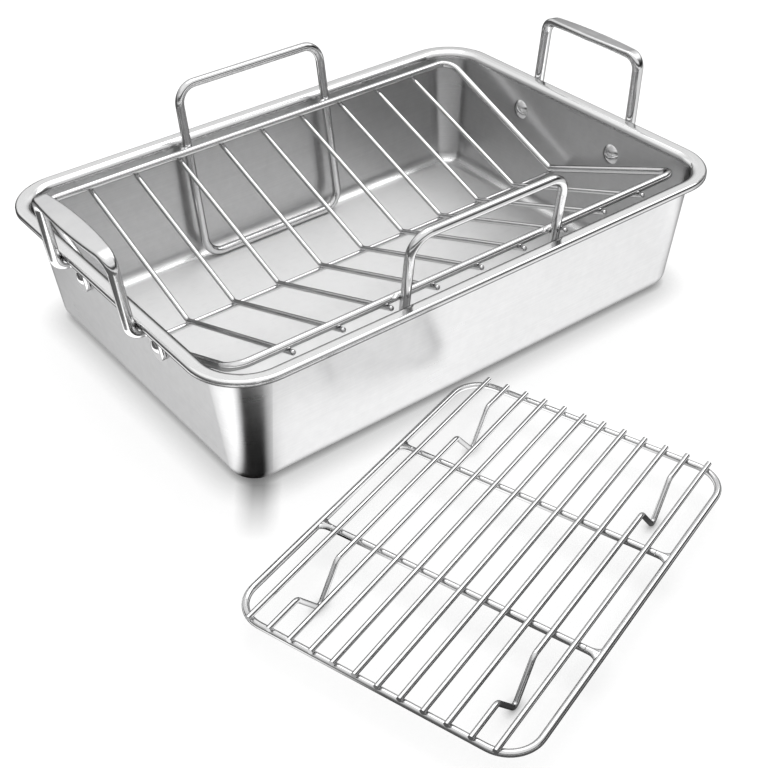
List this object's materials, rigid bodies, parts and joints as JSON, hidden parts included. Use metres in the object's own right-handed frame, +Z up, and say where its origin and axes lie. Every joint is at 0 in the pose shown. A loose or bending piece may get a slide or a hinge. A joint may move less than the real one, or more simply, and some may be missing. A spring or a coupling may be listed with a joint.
{
  "type": "roasting pan with racks",
  "caption": "Rectangular steel roasting pan with riveted loop handles, a V-shaped lift-out roasting rack of wire and a flat footed wire rack beside it.",
  "frame": {"origin": "centre of the pan's underside", "axes": "+Z up, +X along the pan towards its right handle, +Y towards the pan's rear wall; the flat rack lies on the -Y side"},
  "size_m": [0.459, 0.513, 0.139],
  "materials": {
    "pan_steel": "brushed along the walls, satin inside",
    "handle_steel": "polished rod with a satin grip",
    "rivet_steel": "polished",
    "roasting_rack_wire": "polished",
    "flat_rack_wire": "polished"
  },
  "bodies": {
    "pan": {"pan_body": "pan_steel", "left_handle": "handle_steel", "right_handle": "handle_steel", "left_front_rivet": "rivet_steel", "left_rear_rivet": "rivet_steel", "right_front_rivet": "rivet_steel", "right_rear_rivet": "rivet_steel"},
    "roasting_rack": {"roasting_rack_ring": "roasting_rack_wire", "roasting_rack_spine": "roasting_rack_wire", "roasting_rack_v_wire_1": "roasting_rack_wire", "roasting_rack_v_wire_2": "roasting_rack_wire", "roasting_rack_v_wire_3": "roasting_rack_wire", "roasting_rack_v_wire_4": "roasting_rack_wire", "roasting_rack_v_wire_5": "roasting_rack_wire", "roasting_rack_v_wire_6": "roasting_rack_wire", "roasting_rack_v_wire_7": "roasting_rack_wire", "roasting_rack_v_wire_8": "roasting_rack_wire", "roasting_rack_v_wire_9": "roasting_rack_wire", "roasting_rack_front_loop": "roasting_rack_wire", "roasting_rack_rear_loop": "roasting_rack_wire"},
    "flat_rack": {"flat_rack_ring": "flat_rack_wire", "flat_rack_near_cross_wire": "flat_rack_wire", "flat_rack_far_cross_wire": "flat_rack_wire", "flat_rack_bar_1": "flat_rack_wire", "flat_rack_bar_2": "flat_rack_wire", "flat_rack_bar_3": "flat_rack_wire", "flat_rack_bar_4": "flat_rack_wire", "flat_rack_bar_5": "flat_rack_wire", "flat_rack_bar_6": "flat_rack_wire", "flat_rack_bar_7": "flat_rack_wire", "flat_rack_bar_8": "flat_rack_wire", "flat_rack_bar_9": "flat_rack_wire", "flat_rack_bar_10": "flat_rack_wire", "flat_rack_bar_11": "flat_rack_wire", "flat_rack_bar_12": "flat_rack_wire"}
  },
  "joints": [
    {"name": "roasting_rack_lift", "type": "slide", "parent": "pan", "child": "roasting_rack", "axis": [0, 0, 1], "range_m": [0, 0.15]},
    {"name": "flat_rack_lift", "type": "slide", "parent": "pan", "child": "flat_rack", "axis": [0, -0.1736, 0.9848], "range_m": [0, 0.15]}
  ]
}
